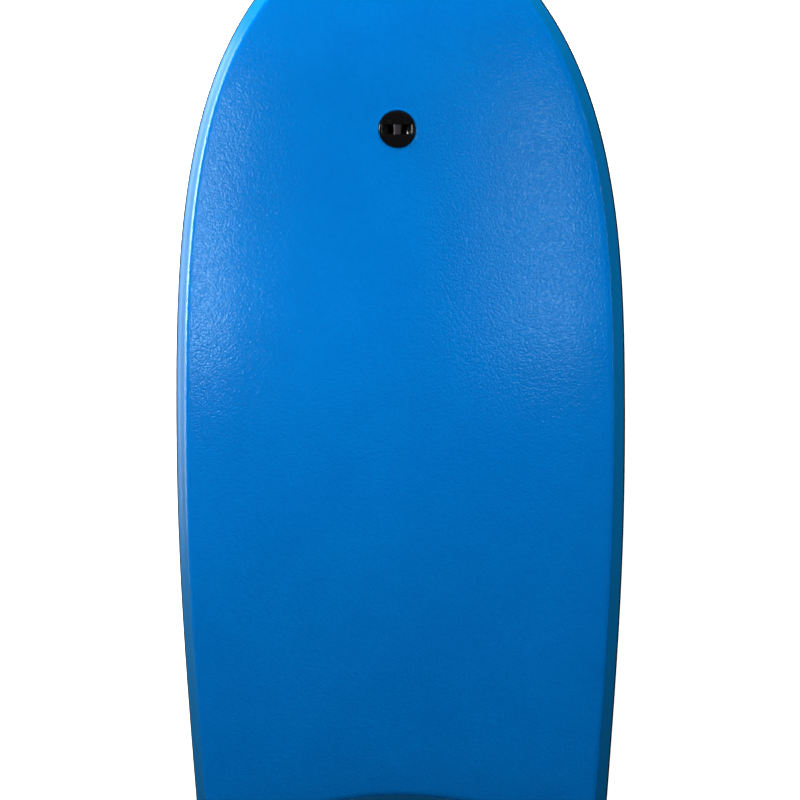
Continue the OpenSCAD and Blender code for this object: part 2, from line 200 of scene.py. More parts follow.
class Shell:  # points and faces of one closed piece
    def __init__(self):
        self.points = []
        self.faces = []

    def ring(self, points):
        first = len(self.points)
        self.points.extend(points)
        return list(range(first, len(self.points)))

    def bridge(self, low, high):
        count = len(low)
        for i in range(count):
            j = (i + 1) % count
            self.faces.append((low[i], low[j], high[j], high[i]))

    # fills the space between an outer ring and a hole with triangles,
    # over those of the inner points that lie clear of both rims
    def fill(self, outer, hole, inner, height, up, rimRoom=0.0016):
        flat = [self.points[i].xy for i in outer + hole]
        rim = KDTree(len(flat))
        for i, p in enumerate(flat):
            rim.insert((p.x, p.y, 0), i)
        rim.balance()
        middle = sum((self.points[i].xy for i in hole), Vector((0, 0))) / len(hole)
        reach = (self.points[hole[0]].xy - middle).length
        kept = [p for p in inner if rim.find((p.x, p.y, 0))[2] > rimRoom and (p - middle).length > reach]
        edges = []
        for first, count in ((0, len(outer)), (len(outer), len(hole))):
            edges += [(first + i, first + (i + 1) % count) for i in range(count)]
        spots, _, faces, sources, _, _ = delaunay_2d_cdt(flat + kept, edges, [], 1, 1e-7)
        rims = outer + hole
        numbers = {}  # rim points keep their numbers, and the others are added as they are met
        for k, p in enumerate(spots):
            source = sources[k][0] if sources[k] else len(flat)
            if source < len(flat):
                numbers[k] = rims[source]
        holeSet = set(hole)
        for face in faces:
            if all(numbers.get(k) in holeSet for k in face):
                continue
            for k in face:
                if k not in numbers:
                    numbers[k] = len(self.points)
                    self.points.append(Vector((spots[k].x, spots[k].y, height(spots[k].x, spots[k].y))))
            corners = [numbers[k] for k in face]
            self.faces.append(corners if up else corners[::-1])

    # turns a profile round Z, from its low end up; both ends lie on the axis
    def lathe(self, profile, turns=96):
        angles = [2 * pi * i / turns for i in range(turns)]
        bottom = self.ring([Vector((0, 0, profile[0][1]))])[0]
        top = self.ring([Vector((0, 0, profile[-1][1]))])[0]
        rings = [self.ring([Vector((r * cos(a), r * sin(a), z)) for a in angles]) for r, z in profile[1:-1]]
        for low, high in zip(rings, rings[1:]):
            self.bridge(low, high)
        for i in range(turns):
            j = (i + 1) % turns
            self.faces.append((rings[0][j], rings[0][i], bottom))
            self.faces.append((rings[-1][i], rings[-1][j], top))

    def prism(self, outlinePoints, direction):  # an outline pushed along a direction
        low = self.ring(outlinePoints)
        high = self.ring([p + direction for p in outlinePoints])
        self.bridge(low, high)
        self.faces.append(low[::-1])
        self.faces.append(high)

    def mesh(self, name, sharp):
        made = bpy.data.meshes.new(name)
        made.from_pydata(self.points, [], self.faces)
        made.validate()
        made.update()
        made.shade_smooth()
        made.set_sharp_from_angle(angle=radians(sharp))
        return made

    def build(self, name, sharp=35):
        return makeObject(name, self.mesh(name, sharp))


def makeObject(name, mesh):
    made = bpy.data.objects.new(name, mesh)
    bpy.context.scene.collection.objects.link(made)
    return made


def grid(step, rowShare=0.87):  # staggered rows of points over the board
    points = []
    row = 0
    y = -halfLength
    while y < halfLength:
        x = -halfWidth + (step / 2 if row % 2 else 0)
        while x < halfWidth:
            points.append(Vector((x, y)))
            x += step
        y += step * rowShare
        row += 1
    return points


# Leash plug's place: its axis stands square to the deck
plug = {
    "back": 0.174,  # from the nose
    "flangeRadius": 0.020,
    "flangeThick": 0.0032,
    "proud": 0.0016,  # above the deck
    "rimRound": 0.0012,
    "rimSteps": 8,
    "rimWear": 0.0003,  # worn edge on the rim's hidden side
    # radius and depth of the flange's top, dished a little towards the slot
    "dish": ((0.0175, 0), (0.012, 0.00012), (0.006, 0.0002), (0, 0.0002)),
    "cupRadius": 0.014,
    "slotLength": 0.034,
    "slotWidth": 0.011,
    "wellLength": 0.021,
    "wellDepth": 0.018,
    "rampDrop": 0.003,
    "cupFloor": 0.0025,
    "studRadius": 0.007,
    "studLength": 0.020,
    "foamGap": 0.0003,
    "washer": 0.0008,
    "softEdge": 0.00035,
    "past": 0.001,  # cutters reach this far beyond the plastic
}
plugY = halfLength - plug["back"]
riseStart = halfLength - board["riseLength"]
plugTilt = atan(2 * board["rise"] * (plugY - riseStart) / board["riseLength"] ** 2)
plugPlace = Matrix.Translation((0, plugY, lift(plugY, boardThick))) @ Matrix.Rotation(plugTilt, 4, "X")
plugUp = plugPlace.to_3x3() @ Vector((0, 0, 1))
underLow = -boardThick * cos(plugTilt)  # the underside, in the plug's own frame

deck = {
    "grid": 0.006,
    "lowGrid": 0.02,  # on its underside
    "seamWear": 0.0002,  # worn edge of the seam with the rails
    "shoulderLow": 0.0006,  # from the underside up to the start of the rounded shoulder
    "shoulderSteps": 12,
    "edgeDrop": 0.0014,  # the foam is pressed thinner towards the rails
    "crownWide": 0.055,  # width of the pressed band
    "shoulderIn": 0.0200,  # from the widest line in to the end of the rounded shoulder
    "lipHigh": 0.00022,  # foam that stands up round the plug
    "lipRadius": 0.0218,
    "lipWide": 0.0012,
    "lipRings": (0.0217, 0.0223, 0.023, 0.0238, 0.0248, 0.026, 0.0275, 0.030),  # mesh rings over it
    "waveHigh": 0.0003,  # unevenness of hand-laid foam
    "waveLength": 0.11,
    "waveSlice": 0.3,  # picks one pattern of the unevenness
    "calmEdge": 0.030,  # the unevenness fades this far from the rim
    "holeRound": 0.0008,
}
deckEdge = boardThick - deck["edgeDrop"]


def shoulderCurve():  # rounded shoulder of the deck, from the chine to the top
    fall = 2 * deck["edgeDrop"] / deck["crownWide"]
    high = deckEdge - fall * (deck["shoulderIn"] - chineInset(deckEdge))
    low = deckLow + deck["shoulderLow"]
    count = deck["shoulderSteps"]
    a = Vector((chineInset(low), low))
    b = Vector((chineInset(high), high))
    c = Vector((deck["shoulderIn"], deckEdge))
    steps = [i / count for i in range(count + 1)]
    return [tuple(a * (1 - t) ** 2 + b * (2 * t * (1 - t)) + c * t * t) for t in steps]


topRim = KDTree(loopLength)  # finds the nearest point where the rounded shoulder ends
for i in range(loopLength):
    p = spot(i, deck["shoulderIn"], boardThick)
    topRim.insert((p.x, p.y, 0), i)
topRim.balance()


def deckHigh(x, y):
    near, i, _ = topRim.find((x, y, 0))
    inside = max(0, (Vector((x, y)) - near.xy).dot(inward[i]))  # distance from the corner of the deck
    drop = deck["edgeDrop"] * max(0, 1 - inside / deck["crownWide"]) ** 2
    calm = min(1, inside / deck["calmEdge"])
    wave = noise.noise(Vector((x, y, deck["waveSlice"])) / deck["waveLength"]) * deck["waveHigh"] * calm
    away = hypot(x, (y - plugY) / cos(plugTilt))
    lip = deck["lipHigh"] * exp(-(((away - deck["lipRadius"]) / deck["lipWide"]) ** 2))
    return lift(y, boardThick - drop) + wave + lip


# a ring round the plug's axis, set on a surface and raised along the axis
# the level, in the plug's own frame, says which surface it is near
def plugRing(radius, rise, high, level=0, turns=96):
    points = []
    for i in range(turns):
        angle = 2 * pi * i / turns
        p = plugPlace @ Vector((radius * cos(angle), radius * sin(angle), level))
        points.append(Vector((p.x, p.y, high(p.x, p.y))) + plugUp * rise)
    return points


def underRing(radius, rise, high):
    return plugRing(radius, rise, high, underLow)


# one layer of the board: its edge from the lowest level up, the heights of its two faces,
# the rings of the plug's hole and the inner points of the two faces
def layerShell(levels, heights, hole, points, grooved=False):
    shell = Shell()
    rings = []
    for inset, z in levels:
        ring = []
        for i in range(loopLength):
            p = spot(i, inset, z)
            up = groove(p.x, p.y) if grooved else 0
            ring.append(spot(i, inset - board["lowerIn"] / board["apexHigh"] * up, z + up) if up else p)
        rings.append(shell.ring(ring))
    holeRings = [shell.ring(ring) for ring in hole]
    for low, high in zip(rings, rings[1:]):
        shell.bridge(low, high)
    for low, high in zip(holeRings, holeRings[1:]):
        shell.bridge(high, low)
    shell.fill(rings[0], holeRings[0], points[0], heights[0], up=False)
    shell.fill(rings[-1], holeRings[-1], points[1], heights[1], up=True)
    return shell


def makeDeck():
    def low(x, y):
        return lift(y, deckLow)

    seat = plug["washer"] - plug["proud"] + plug["flangeThick"]
    wall = plug["flangeRadius"] + plug["foamGap"]
    bore = plug["cupRadius"] + plug["foamGap"]
    soft = deck["holeRound"]
    hole = [plugRing(bore, 0, low), plugRing(bore, -seat, deckHigh), plugRing(wall, -seat, deckHigh)]
    for angle in (0, 30, 60, 90):  # rounded mouth of the plug's seat
        radius = wall + soft * (1 - cos(radians(angle)))
        hole.append(plugRing(radius, -soft * (1 - sin(radians(angle))), deckHigh))
    hole += [plugRing(radius, 0, deckHigh) for radius in deck["lipRings"]]
    worn = deck["seamWear"]
    levels = [(chineInset(deckLow) + worn, deckLow), (chineInset(deckLow + worn), deckLow + worn)]
    levels += shoulderCurve()
    return layerShell(levels, (low, deckHigh), hole, (grid(deck["lowGrid"]), grid(deck["grid"])))


slick = {
    "grid": 0.009,
    "edgeRound": 0.0008,
    "topWear": 0.0001,
    "backingWear": 0.0002,
    "mouthRound": 0.0003,  # of the plug's seat
    "faceRings": (0.012, 0.0175),  # mesh rings on the flange's face
    "seat": 0.0006,  # depth of the seat round the plug
    "socketRadius": 0.011,
    "socketGap": 0.0020,
    "flangeThick": 0.0026,
    "threadGap": 0.00015,
    "coinWidth": 0.0024,
    "coinLength": 0.026,
    "coinDepth": 0.0016,
}


def channelGrid(step):  # rows of points that follow the channels' walls
    points = []
    y = -halfLength
    while y < channels["length"] - halfLength:
        share, half = channelHalf(y)
        soft = channels["soft"]
        depth = channels["depth"] * share
        count = channels["wallSteps"]
        wall = [half + soft - (depth + 2 * soft) * k / count for k in range(count + 1)]
        for side in (-1, 1):
            for across in wall + [half + channels["outerRow"] * soft, 0]:
                for sign in (-1, 1):
                    points.append(Vector((side * (channels["apart"] + sign * across), y)))
        y += step
    return points


def underGrid(step):
    clear = [p for p in grid(step) if not inChannel(p)]
    return clear + channelGrid(step * channels["rowShare"])


def inChannel(p):
    share, half = channelHalf(p.y)
    return share > 0 and abs(abs(p.x) - channels["apart"]) < half + channels["clear"] * channels["soft"]


def sheetHigh(z):  # height of an underside layer, with its channels
    return lambda x, y: lift(y, z) + groove(x, y)


def makeSlick():
    under, top = sheetHigh(0), sheetHigh(board["slickThick"])
    wall = plug["flangeRadius"] + plug["foamGap"]
    bore = slick["socketRadius"] + plug["foamGap"]
    mouth = slick["mouthRound"]
    seat = slick["seat"]
    hole = [underRing(wall + mouth, 0, under), underRing(wall, mouth, under), underRing(wall, seat, under),
            underRing(bore, seat, under), underRing(bore, 0, top)]
    soft = slick["edgeRound"]
    worn = slick["topWear"]
    thick = board["slickThick"]
    levels = [(board["lowerIn"] + soft, 0), (board["lowerIn"] + 0.3 * soft, 0.12 * soft),
              (lowerInset(0.5 * soft), 0.5 * soft), (lowerInset(thick - worn), thick - worn),
              (lowerInset(thick) + worn, thick)]
    points = underGrid(slick["grid"])
    return layerShell(levels, (under, top), hole, (points, points), grooved=True)


def makeBacking():
    low, high = board["slickThick"], coreLow
    bore = slick["socketRadius"] + plug["foamGap"]
    hole = [underRing(bore, 0, sheetHigh(low)), underRing(bore, 0, sheetHigh(high))]
    worn = slick["backingWear"]
    levels = [(lowerInset(low) + worn, low), (lowerInset(low + worn), low + worn),
              (lowerInset(high - worn), high - worn), (lowerInset(high) + worn, high)]
    points = underGrid(slick["grid"])
    return layerShell(levels, (sheetHigh(low), sheetHigh(high)), hole, (points, points), grooved=True)


rails = {
    "seamRound": 0.0005,  # rounding of the edges that show
    "hiddenRound": 0.0002,
    "slickRound": 0.0003,  # at the underside's edge
    "apexRound": 0.003,
    "bulge": 0.0003,  # the strips' faces swell a little
    "endRound": 0.00025,
    "roundSteps": 4,
    "faceSteps": 4,
}


def rounded(corners, radii, bulges):  # a closed outline with rounded corners and swollen sides
    made = []
    count = len(corners)
    for k, corner in enumerate(corners):
        before = (corners[k - 1] - corner).normalized()
        after = corners[(k + 1) % count] - corner
        start = corner + before * radii[k]
        end = corner + after.normalized() * radii[k]
        steps = [i / rails["roundSteps"] for i in range(rails["roundSteps"] + 1)]
        made += [start * (1 - t) ** 2 + corner * (2 * t * (1 - t)) + end * t * t for t in steps]
        if bulges[k]:
            far = corners[(k + 1) % count] - after.normalized() * radii[(k + 1) % count]
            out = Vector((after.y, -after.x)).normalized() * bulges[k]
            steps = [i / rails["faceSteps"] for i in range(1, rails["faceSteps"])]
            made += [end.lerp(far, t) + out * 4 * t * (1 - t) for t in steps]
    return made


def upperSection(i):  # the same all along the board
    thick = board["railThick"]
    soft = rails["seamRound"]
    hidden = rails["hiddenRound"]
    corners = [Vector(c) for c in (
        (chineInset(deckLow), deckLow), (board["seamIn"], seamHigh), (board["seamIn"] + thick, seamHigh),
        (chineInset(meshLow) + thick, meshLow), (chineInset(deckLow) + thick, deckLow))]
    return rounded(corners, (soft, soft, soft, hidden, hidden), (-rails["bulge"], 0, 0, 0, 0))


def lowerSection(i):
    thick = board["railThick"]
    edge = spot(i, board["lowerIn"], coreLow)
    low = coreLow + groove(edge.x, edge.y)
    soft = rails["seamRound"]
    corners = [Vector(c) for c in (
        (board["seamIn"], seamHigh), (0, board["apexHigh"]), (lowerInset(low), low),
        (lowerInset(low) + thick, low), (thick, board["apexHigh"]), (board["seamIn"] + thick, seamHigh))]
    radii = (soft, rails["apexRound"], rails["slickRound"], soft, soft, soft)
    return rounded(corners, radii, (0, -rails["bulge"], 0, 0, 0, 0))


def strip(section, first, last):  # a rail strip along the outline, with worn ends
    def ringAt(i):
        return [spot(i, p.x, p.y) for p in section(i)]

    shell = Shell()
    rings = [ringAt(i) for i in range(first, last + 1)]
    worn = rails["endRound"]
    ends = []
    for full, inner in ((rings[0], rings[1]), (rings[-1], rings[-2])):
        middle = sum(full, Vector()) / len(full)
        step = worn / (inner[0] - full[0]).length
        near = [p.lerp(q, step) for p, q in zip(full, inner)]
        cap = [p + (middle - p).normalized() * worn for p in full]
        ends.append([cap, near])
    rings = ends[0] + rings[1:-1] + ends[1][::-1]
    numbers = [shell.ring(ring) for ring in rings]
    for near, far in zip(numbers, numbers[1:]):
        shell.bridge(near, far)
    shell.faces.append(numbers[0][::-1])
    shell.faces.append(numbers[-1])
    return shell


def applyModifiers(piece):
    ready = piece.evaluated_get(bpy.context.evaluated_depsgraph_get())
    mesh = bpy.data.meshes.new_from_object(ready)
    piece.modifiers.clear()
    piece.data = mesh


def carve(piece, cutter):
    cut = piece.modifiers.new("cut", "BOOLEAN")
    cut.operation = "DIFFERENCE"
    cut.solver = "EXACT"
    cut.object = cutter
    applyModifiers(piece)
    bpy.data.objects.remove(cutter)


def soften(piece, width):
    edge = piece.modifiers.new("edge", "BEVEL")
    edge.width = width
    edge.segments = 3
    edge.limit_method = "ANGLE"
    edge.angle_limit = radians(30)
    applyModifiers(piece)
    piece.data.shade_smooth()
    piece.data.set_sharp_from_angle(angle=radians(50))


def rimProfile(low, high):  # one side of a flange, its rim rounded away from the board
    radius = plug["flangeRadius"]
    soft = plug["rimRound"]
    worn = plug["rimWear"]
    steps = plug["rimSteps"]
    made = [(radius - worn, low), (radius, low + worn)]
    for k in range(steps + 1):
        angle = pi / 2 * k / steps
        made.append((radius - soft * (1 - cos(angle)), high - soft * (1 - sin(angle))))
    return made


def makePlugDeck():
    high = plug["proud"]
    low = high - plug["flangeThick"]
    cupLow = -plug["wellDepth"] - plug["cupFloor"]
    profile = [(0, cupLow - plug["studLength"]), (plug["studRadius"], cupLow - plug["studLength"]),
               (plug["studRadius"], cupLow), (plug["cupRadius"], cupLow), (plug["cupRadius"], low)]
    profile += rimProfile(low, high)
    profile += [(radius, high - depth) for radius, depth in plug["dish"]]
    shell = Shell()
    shell.lathe(profile)
    body = shell.build("leashPlugDeck")
    halfSlot, halfWell = plug["slotLength"] / 2, plug["wellLength"] / 2
    across = plug["slotWidth"]
    above = high + plug["past"]
    slot = [(-halfSlot, above), (-halfSlot, high), (-halfWell, high - plug["rampDrop"]),
            (-halfWell, -plug["wellDepth"]), (halfWell, -plug["wellDepth"]),
            (halfWell, high - plug["rampDrop"]), (halfSlot, high), (halfSlot, above)]
    shell = Shell()
    shell.prism([Vector((x, across / 2, z)) for x, z in slot], Vector((0, -across, 0)))
    carve(body, shell.build("slotCutter"))
    shell = Shell()
    length = across + 2 * (bar["tail"] + bar["gap"])
    shell.prism([Vector((p.x, length / 2, p.y)) for p in barSection(bar["gap"])], Vector((0, -length, 0)))
    carve(body, shell.build("barCutter"))
    soften(body, plug["softEdge"])
    body.data.transform(plugPlace)
    return body


bar = {
    "width": 0.0084,
    "thick": 0.004,
    "sink": 0.0008,  # its top below the flange's top
    "tail": 0.0016,  # let into the cup at each end
    "gap": 0.0001,
    "turns": 48,  # points round its section
    # places along the bar and the section's size there: worn ends and a slight waist
    "waist": ((-0.5, 0.93), (-0.485, 1), (-0.25, 0.995), (0, 0.985), (0.25, 0.995), (0.485, 1), (0.5, 0.93)),
}


def barSection(grow):
    middle = plug["proud"] - bar["sink"] - bar["thick"] / 2
    radius = bar["thick"] / 2 + grow
    out = bar["width"] / 2 - bar["thick"] / 2
    turns = bar["turns"]
    made = []
    for k in range(turns):
        angle = 2 * pi * (k + 0.5) / turns
        side = out if cos(angle) > 0 else -out
        made.append(Vector((side + radius * cos(angle), middle + radius * sin(angle))))
    return made


def makeBar():
    length = plug["slotWidth"] + 2 * bar["tail"]
    section = barSection(0)
    middle = sum(section, Vector((0, 0))) / len(section)
    shell = Shell()
    rings = []
    for along, shrink in bar["waist"]:
        points = [middle + (p - middle) * shrink for p in section]
        rings.append(shell.ring([Vector((p.x, -along * length, p.y)) for p in points]))
    for near, far in zip(rings, rings[1:]):
        shell.bridge(near, far)
    shell.faces.append(rings[0][::-1])
    shell.faces.append(rings[-1])
    made = shell.build("leashBar")
    made.data.transform(plugPlace)
    return made


def makePlugSlick():
    top = underLow + slick["seat"] - plug["washer"]
    cupLow = -plug["wellDepth"] - plug["cupFloor"]
    socketHigh = cupLow - slick["socketGap"]
    low = top - slick["flangeThick"]
    rim = [(r, top - z) for r, z in rimProfile(0, slick["flangeThick"])]
    profile = [(0, low)] + [(r, low) for r in slick["faceRings"]] + rim[::-1]
    radius = slick["socketRadius"]
    profile += [(radius, top), (radius, socketHigh), (0, socketHigh)]
    shell = Shell()
    shell.lathe(profile)
    body = shell.build("leashPlugSlick")
    bore = plug["studRadius"] + slick["threadGap"]
    studLow = cupLow - plug["studLength"]
    past = plug["past"]
    shell = Shell()
    shell.lathe([(0, studLow), (bore, studLow), (bore, socketHigh + past), (0, socketHigh + past)])
    carve(body, shell.build("boreCutter"))
    half, across = slick["coinLength"] / 2, slick["coinWidth"] / 2
    corners = [(-half, -across), (half, -across), (half, across), (-half, across)]
    shell = Shell()
    shell.prism([Vector((x, y, low - past)) for x, y in corners], Vector((0, 0, slick["coinDepth"] + past)))
    carve(body, shell.build("coinCutter"))
    soften(body, plug["softEdge"])
    body.data.transform(plugPlace)
    return body


# Shader maths: an operator on a wire adds the Math node
class Wire:
    def __init__(self, finish, socket):
        self.finish = finish
        self.socket = socket

    def math(self, operation, *values):
        return self.finish.add("ShaderNodeMath", {"operation": operation}, dict(enumerate(values)))

    def __add__(self, other):
        return self.math("ADD", self, other)

    def __radd__(self, other):
        return self.math("ADD", other, self)

    def __sub__(self, other):
        return self.math("SUBTRACT", self, other)

    def __rsub__(self, other):
        return self.math("SUBTRACT", other, self)

    def __mul__(self, other):
        return self.math("MULTIPLY", self, other)

    def __rmul__(self, other):
        return self.math("MULTIPLY", other, self)


class Finish:
    def __init__(self, name):
        self.material = bpy.data.materials.new(name)
        self.material.use_nodes = True
        self.nodes = self.material.node_tree.nodes
        self.links = self.material.node_tree.links
        self.nodes.clear()
        self.place = self.add("ShaderNodeTexCoord", {}, {}, "Object")

    def add(self, kind, settings, values, output=0):
        node = self.nodes.new(kind)
        for key, value in settings.items():
            setattr(node, key, value)
        for key, value in values.items():
            if isinstance(value, Wire):
                self.links.new(value.socket, node.inputs[key])
            else:
                node.inputs[key].default_value = value
        return Wire(self, node.outputs[output])

    def noise(self, size, detail=2.0, roughness=0.5, stretch=None):  # features of a size in metres
        place = self.stretched(stretch) if stretch else self.place
        return self.add("ShaderNodeTexNoise", {}, {
            "Vector": place, "Scale": 1 / size, "Detail": detail, "Roughness": roughness})

    def cells(self, size, feature="F1", smooth=0.35, place=None):
        values = {"Vector": place or self.place, "Scale": 1 / size}
        if feature == "SMOOTH_F1":
            values["Smoothness"] = smooth
        return self.add("ShaderNodeTexVoronoi", {"feature": feature}, values)

    def stretched(self, factors):
        return self.add("ShaderNodeVectorMath", {"operation": "MULTIPLY"}, {0: self.place, 1: factors})

    def steps(self, wire, low, high):  # 0 below the range, 1 above it and eased between
        return self.add("ShaderNodeMapRange", {"interpolation_type": "SMOOTHSTEP"}, {
            "Value": wire, "From Min": low, "From Max": high})

    def mix(self, mask, first, second):
        return self.add("ShaderNodeMix", {"data_type": "RGBA"}, {0: mask, 6: first, 7: second}, 2)

    def bump(self, height, distance):
        return self.add("ShaderNodeBump", {}, {"Height": height, "Distance": distance, "Strength": 1.0})

    def surface(self, **values):
        named = {"baseColor": "Base Color", "roughness": "Roughness", "normal": "Normal",
                 "specular": "Specular IOR Level", "tint": "Specular Tint"}
        sockets = {named[key]: value for key, value in values.items()}
        self.close(self.add("ShaderNodeBsdfPrincipled", {}, sockets))
        return self.material

    def close(self, shader):
        out = self.nodes.new("ShaderNodeOutputMaterial")
        self.links.new(shader.socket, out.inputs["Surface"])


foamLook = {
    "blue": (0.0, 0.172, 0.57, 1),
    "deepBlue": (0.0, 0.148, 0.52, 1),
    "railBlue": (0.0, 0.172, 0.46, 1),
    "railDeepBlue": (0.0, 0.156, 0.42, 1),
    "grain": 0.0023,  # pitch of the pebbles
    "grainHigh": 0.00025,
    "wander": (0.0016, 0.0016, 0.0016),  # how far the pebbles stray from round
    "wanderScale": 300.0,
    "rough": 0.15,
    "specular": 0.7,
    "tint": (0.65, 1.0, 1.0, 1),
    "railRough": 0.27,
    "railSpecular": 0.95,
    "railPeel": 0.00003,
}


def deckFoam():
    f = Finish("pebbledDeckFoam")
    wander = f.add("ShaderNodeVectorMath", {"operation": "MULTIPLY_ADD"}, {
        0: f.add("ShaderNodeTexNoise", {}, {
            "Vector": f.place, "Scale": foamLook["wanderScale"], "Detail": 1.0}, "Color"),
        1: foamLook["wander"], 2: f.place})
    pebbles = f.cells(foamLook["grain"], "SMOOTH_F1", 0.35, wander)
    skin = f.noise(0.0024, 2.0, 0.5)
    height = (1 - pebbles) * 0.8 + skin * 0.5
    cloud = f.steps(f.noise(0.09, 3.0, 0.55), 0.3, 0.7)
    mottle = f.steps(f.noise(0.006, 3.0, 0.6), 0.3, 0.7)
    color = f.mix(cloud * 0.5 + mottle * 0.4, foamLook["blue"], foamLook["deepBlue"])
    rough = foamLook["rough"] + mottle * 0.05
    return f.surface(baseColor=color, roughness=rough, specular=foamLook["specular"],
                     tint=foamLook["tint"], normal=f.bump(height, foamLook["grainHigh"]))


def railFoam():
    f = Finish("sealedBlueFoam")
    peel = f.noise(0.004, 2.0, 0.5)
    drag = f.noise(0.01, 3.0, 0.6, (1.0, 0.12, 1.0))
    cloud = f.steps(f.noise(0.05, 3.0, 0.55), 0.3, 0.7)
    color = f.mix(cloud * 0.6 + drag * 0.3, foamLook["railBlue"], foamLook["railDeepBlue"])
    return f.surface(baseColor=color, roughness=foamLook["railRough"] + drag * 0.06,
                     specular=foamLook["railSpecular"],
                     normal=f.bump(peel + drag * 0.7, foamLook["railPeel"]))


darkLook = {
    "rail": ((0.006, 0.006, 0.0075, 1), (0.014, 0.014, 0.016, 1)),  # colour, and paler clouds
    "backing": ((0.012, 0.012, 0.013, 1), (0.022, 0.022, 0.024, 1)),
    "rough": 0.55,
    "specular": 0.12,
    "cells": 0.0016,
    "peel": 0.0001,
}


def darkFoam(name, color, paler):
    f = Finish(name)
    peel = f.noise(0.0032, 2.0, 0.5)
    cells = f.cells(darkLook["cells"])
    cloud = f.steps(f.noise(0.03, 4.0, 0.6), 0.35, 0.7)
    return f.surface(baseColor=f.mix(cloud * 0.7 + peel * 0.2, color, paler),
                     roughness=darkLook["rough"] + peel * 0.15, specular=darkLook["specular"],
                     normal=f.bump(peel + cells * 0.4, darkLook["peel"]))


slickLook = {
    "black": (0.010, 0.011, 0.012, 1),
    "hazed": (0.022, 0.023, 0.026, 1),
    "rough": 0.2,
    "flow": 0.00006,  # height of the rolled sheet's flow lines
}


def slickPlastic():
    f = Finish("slickPlastic")
    scratches = f.steps(f.noise(0.004, 5.0, 0.7, (1.0, 0.02, 1.0)), 0.6, 0.68)
    crossed = f.steps(f.noise(0.006, 5.0, 0.7, (0.06, 1.0, 1.0)), 0.66, 0.72)
    haze = f.steps(f.noise(0.07, 4.0, 0.6), 0.35, 0.75)
    flow = f.noise(0.012, 2.0, 0.5, (1.0, 0.2, 1.0))
    color = f.mix(haze * 0.5 + scratches * 0.3, slickLook["black"], slickLook["hazed"])
    return f.surface(
        baseColor=color, roughness=slickLook["rough"] + haze * 0.1 + scratches * 0.12 + crossed * 0.08,
        specular=0.5, normal=f.bump(flow * 0.6 - scratches * 0.25 - crossed * 0.15, slickLook["flow"]))


plugLook = {
    "black": (0.004, 0.004, 0.0045, 1),
    "scuffed": (0.035, 0.033, 0.036, 1),
    "rough": 0.13,
    "wellRough": 0.6,  # added inside the wells, which are matt
    "wellDepths": (-0.012, -0.004),
    "ripple": 0.00004,
    "barDark": (0.022, 0.020, 0.026, 1),
    "barRubbed": (0.042, 0.038, 0.047, 1),
    "barRough": 0.34,
}


def plugPlastic():
    f = Finish("glossyPlugPlastic")
    scuff = f.steps(f.noise(0.0042, 5.0, 0.75, (1.0, 0.35, 1.0)), 0.6, 0.7)
    dust = f.steps(f.noise(0.0011, 2.0), 0.66, 0.76)
    ripple = f.noise(0.009, 2.0)
    color = f.mix(scuff * 0.5 + dust * 0.3, plugLook["black"], plugLook["scuffed"])
    along = f.add("ShaderNodeVectorMath", {"operation": "DOT_PRODUCT"}, {0: f.place, 1: plugUp}, "Value")
    deep = 1 - f.steps(along - plugPlace.translation.dot(plugUp), *plugLook["wellDepths"])
    rough = plugLook["rough"] + scuff * 0.3 + dust * 0.15 + deep * plugLook["wellRough"]
    return f.surface(baseColor=color, roughness=rough, specular=0.45,
                     normal=f.bump(ripple * 0.5 - scuff * 0.3, plugLook["ripple"]))


def barPlastic():
    f = Finish("barPlastic")
    drag = f.noise(0.0022, 3.0, 0.6, (1.0, 0.15, 1.0))
    rub = f.steps(f.noise(0.003, 3.0), 0.45, 0.7)
    color = f.mix(rub * 0.6 + drag * 0.3, plugLook["barDark"], plugLook["barRubbed"])
    return f.surface(baseColor=color, roughness=plugLook["barRough"] + drag * 0.15, specular=0.5,
                     normal=f.bump(drag, plugLook["ripple"]))


# what lies inside the board: two colours that mix, roughness and the height of the grain
insideLook = {
    "washer": ((0.008, 0.008, 0.008, 1), (0.016, 0.016, 0.017, 1), 0.6, 0.00005),
    "core": ((0.66, 0.67, 0.66, 1), (0.86, 0.87, 0.86, 1), 0.7, 0.0004),
    "tube": ((0.50, 0.46, 0.28, 1), (0.74, 0.71, 0.55, 1), 0.35, 0.00008),
    "cap": ((0.07, 0.07, 0.072, 1), (0.11, 0.11, 0.112, 1), 0.4, 0.00004),
    "net": ((0.72, 0.72, 0.70, 1), (0.46, 0.46, 0.45, 1), 0.45, 0.0003),
    "bead": 0.0045,  # size of the core's beads
    "netPitch": 0.003,
    "netEdge": (0.0006, 0.0010),
}


def washerRubber():
    f = Finish("washerRubber")
    dark, light, rough, high = insideLook["washer"]
    grain = f.noise(0.0008, 3.0, 0.6)
    return f.surface(baseColor=f.mix(grain, dark, light), roughness=rough + grain * 0.2,
                     normal=f.bump(grain, high))


def beadFoam():
    f = Finish("beadFoam")
    dark, light, rough, high = insideLook["core"]
    beads = f.cells(insideLook["bead"])
    seams = f.steps(f.cells(insideLook["bead"], "DISTANCE_TO_EDGE"), 0.0, 0.12)
    return f.surface(baseColor=f.mix(seams, dark, light), roughness=rough - seams * 0.1,
                     normal=f.bump(seams + beads * 0.5, high))


def tubeFibre():
    f = Finish("pultrudedFibre")
    dark, light, rough, high = insideLook["tube"]
    strands = f.noise(0.0012, 4.0, 0.6, (1.0, 0.02, 1.0))
    veil = f.noise(0.008, 3.0)
    color = f.mix(strands * 0.7 + veil * 0.3, dark, light)
    return f.surface(baseColor=color, roughness=rough + strands * 0.2, normal=f.bump(strands, high))


